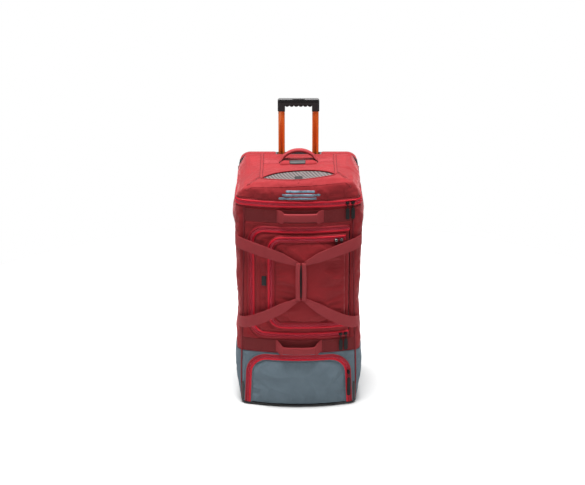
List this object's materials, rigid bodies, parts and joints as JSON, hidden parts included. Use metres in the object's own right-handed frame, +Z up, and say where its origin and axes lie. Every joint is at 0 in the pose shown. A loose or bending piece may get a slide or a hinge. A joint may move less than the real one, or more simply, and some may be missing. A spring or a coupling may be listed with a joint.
{
  "type": "rolling duffel bag",
  "caption": "Upright soft-sided rolling duffel with a zipped lid, front door, pocket and base compartment, pull-out trolley, side wheels, grab handles and swinging carry straps.",
  "frame": {"origin": "on the floor at the middle of the bag's footprint, with the straps, handles and wheels included", "axes": "+Z up, along the height; +X to the bag's own width, on the right of someone facing its front; the front with the doors faces -Y and the back with the trolley and wheels faces +Y"},
  "size_m": [0.4202, 0.4106, 0.9885],
  "materials": {
    "red_fabric": "woven polyester, matt",
    "slate_fabric": "woven polyester, matt",
    "grey_fabric": "coated polyester, matt",
    "lining": "light woven lining",
    "red_webbing": "ribbed webbing",
    "zip_tape": "knitted zip tape",
    "mesh": "open knitted mesh",
    "black_moulding": "fine grained",
    "black_gloss": "satin gloss",
    "rubber": "soft, matt",
    "tyre": "matt",
    "steel": "plated",
    "black_metal": "black lacquer, worn edges",
    "plain_aluminium": "mill finish",
    "orange_aluminium": "anodised, satin"
  },
  "bodies": {
    "bag": {"base_tray": "black_moulding", "base_feet": "rubber", "case_screws": "steel", "wheel_housings": "black_moulding", "wheel_axles": "steel", "wheel_bearings": "steel", "back_panel": "grey_fabric", "skid_rails": "black_moulding", "trolley_sleeves": "plain_aluminium", "trolley_bracket": "black_moulding", "top_frame": "black_moulding", "side_panels": "red_fabric", "lower_side_panels": "slate_fabric", "front_upper_panel": "red_fabric", "front_side_strips": "red_fabric", "front_lower_panel": "red_fabric", "base_front_panel": "slate_fabric", "inner_lining": "lining", "front_webbing": "red_webbing", "front_grab_handles": "red_webbing", "side_webbing": "red_webbing", "fixed_zip_tapes": "zip_tape"},
    "lid": {"lid_shell": "red_fabric", "vent_mesh": "mesh", "lid_handle": "red_webbing", "lid_zip_tape": "zip_tape", "lid_end_slider": "black_metal"},
    "main_door": {"main_door_panel": "red_fabric", "pocket_panel": "red_fabric", "main_door_zip_tapes": "zip_tape", "door_end_sliders": "black_metal"},
    "base_door": {"base_door_panel": "slate_fabric", "base_door_zip_tape": "zip_tape", "base_end_slider": "black_metal"},
    "trolley": {"sliding_tubes": "orange_aluminium", "grip_cover": "black_gloss", "grip_body": "black_moulding", "tube_guides": "black_moulding"},
    "release_button": {"release_button": "black_gloss", "button_springs": "steel"},
    "lock_pins": {"lock_pins": "steel"},
    "left_wheel": {"left_tyre": "tyre", "left_wheel_hub": "black_moulding"},
    "right_wheel": {"right_tyre": "tyre", "right_wheel_hub": "black_moulding"},
    "left_strap": {"left_carry_strap": "red_webbing"},
    "right_strap": {"right_carry_strap": "red_webbing"},
    "lid_slider": {"lid_slider": "black_metal"},
    "main_slider": {"main_slider": "black_metal"},
    "pocket_slider": {"pocket_slider": "black_metal"},
    "base_slider": {"base_slider": "black_metal"},
    "lid_pull": {"lid_pull": "rubber"},
    "lid_end_pull": {"lid_end_pull": "rubber"},
    "main_pull": {"main_pull": "rubber"},
    "main_end_pull": {"main_end_pull": "rubber"},
    "pocket_pull": {"pocket_pull": "rubber"},
    "pocket_end_pull": {"pocket_end_pull": "rubber"},
    "base_pull": {"base_pull": "rubber"},
    "base_end_pull": {"base_end_pull": "rubber"}
  },
  "joints": [
    {"name": "handle_slide", "type": "slide", "parent": "bag", "child": "trolley", "axis": [0, 0, 1], "range_m": [-0.17, 0]},
    {"name": "release_button_press", "type": "slide", "parent": "trolley", "child": "release_button", "axis": [0, 0, -1], "range_m": [0, 0.004], "stiffness_N_per_m": 600, "springref_m": -0.002, "deforming": ["button_springs"]},
    {"name": "lock_pins_draw", "type": "slide", "parent": "trolley", "child": "lock_pins", "axis": [0, 1, 0], "range_m": [0, 0.003]},
    {"name": "left_wheel_spin", "type": "hinge", "parent": "bag", "child": "left_wheel", "pos_m": [-0.178, 0.157, 0.045], "axis": [1, 0, 0], "continuous": true},
    {"name": "right_wheel_spin", "type": "hinge", "parent": "bag", "child": "right_wheel", "pos_m": [0.178, 0.157, 0.045], "axis": [1, 0, 0], "continuous": true},
    {"name": "lid_open", "type": "hinge", "parent": "bag", "child": "lid", "pos_m": [0, 0.1635, 0.797], "axis": [-1, 0, 0], "range_deg": [0, 55]},
    {"name": "main_door_open", "type": "hinge", "parent": "bag", "child": "main_door", "pos_m": [0.168, -0.15156, 0.452], "axis": [0, 0, 1], "range_deg": [0, 50]},
    {"name": "right_strap_swing", "type": "hinge", "parent": "bag", "child": "right_strap", "pos_m": [0.2086, -0.103, 0.446], "axis": [0, 0, 1], "range_deg": [0, 120]},
    {"name": "left_strap_swing", "type": "hinge", "parent": "bag", "child": "left_strap", "pos_m": [-0.2086, -0.103, 0.446], "axis": [0, 0, -1], "range_deg": [0, 120]},
    {"name": "base_door_open", "type": "hinge", "parent": "bag", "child": "base_door", "pos_m": [0, -0.178, 0.0155], "axis": [1, 0, 0], "range_deg": [0, 88]},
    {"name": "lid_slider_run", "type": "hinge", "parent": "lid", "child": "lid_slider", "pos_m": [0, 0.38, 0.728], "axis": [0, 0, 1], "range_deg": [-3.2, 0]},
    {"name": "main_slider_run", "type": "hinge", "parent": "main_door", "child": "main_slider", "pos_m": [0, 0.38, 0.264], "axis": [0, 0, 1], "range_deg": [-2.01, 0]},
    {"name": "pocket_slider_run", "type": "hinge", "parent": "main_door", "child": "pocket_slider", "pos_m": [0, 0.38, 0.604], "axis": [0, 0, 1], "range_deg": [-17.82, 0]},
    {"name": "base_slider_run", "type": "slide", "parent": "base_door", "child": "base_slider", "axis": [0.0496, 0.0159, -0.9986], "range_m": [0, 0.03]},
    {"name": "lid_pull_swing", "type": "hinge", "parent": "lid_slider", "child": "lid_pull", "pos_m": [0.16193, -0.15994, 0.728], "axis": [0.2873, -0.9579, 0], "range_deg": [-40, 0]},
    {"name": "lid_end_pull_swing", "type": "hinge", "parent": "lid", "child": "lid_end_pull", "pos_m": [0.18014, -0.15414, 0.728], "axis": [0.3196, -0.9476, 0], "range_deg": [0, 40]},
    {"name": "main_pull_swing", "type": "hinge", "parent": "main_slider", "child": "main_pull", "pos_m": [0.1427, -0.16534, 0.264], "axis": [0.2531, -0.9674, 0], "range_deg": [-40, 0]},
    {"name": "main_end_pull_swing", "type": "hinge", "parent": "main_door", "child": "main_end_pull", "pos_m": [0.1599, -0.16055, 0.264], "axis": [0.2837, -0.9589, 0], "range_deg": [-5, 2]},
    {"name": "pocket_pull_swing", "type": "hinge", "parent": "pocket_slider", "child": "pocket_pull", "pos_m": [0.12548, -0.17571, 0.604], "axis": [0.2202, -0.9754, 0], "range_deg": [-40, 0]},
    {"name": "pocket_end_pull_swing", "type": "hinge", "parent": "main_door", "child": "pocket_end_pull", "pos_m": [0.14268, -0.17154, 0.604], "axis": [0.2504, -0.9681, 0], "range_deg": [0, 35]},
    {"name": "base_pull_swing", "type": "hinge", "parent": "base_slider", "child": "base_pull", "pos_m": [0.17156, -0.15696, 0.091], "axis": [0.3043, -0.9526, 0], "range_deg": [-40, 0]},
    {"name": "base_end_pull_swing", "type": "hinge", "parent": "base_door", "child": "base_end_pull", "pos_m": [0.17166, -0.1627, 0.122], "axis": [0.3016, -0.9534, 0], "range_deg": [-40, 0]}
  ],
  "couplings": [
    {"joint": "right_strap_swing", "follows": "main_door_open", "ratio": 2.4},
    {"joint": "left_strap_swing", "follows": "main_door_open", "ratio": 2.4},
    {"joint": "lock_pins_draw", "follows": "release_button_press", "ratio": 0.75}
  ]
}
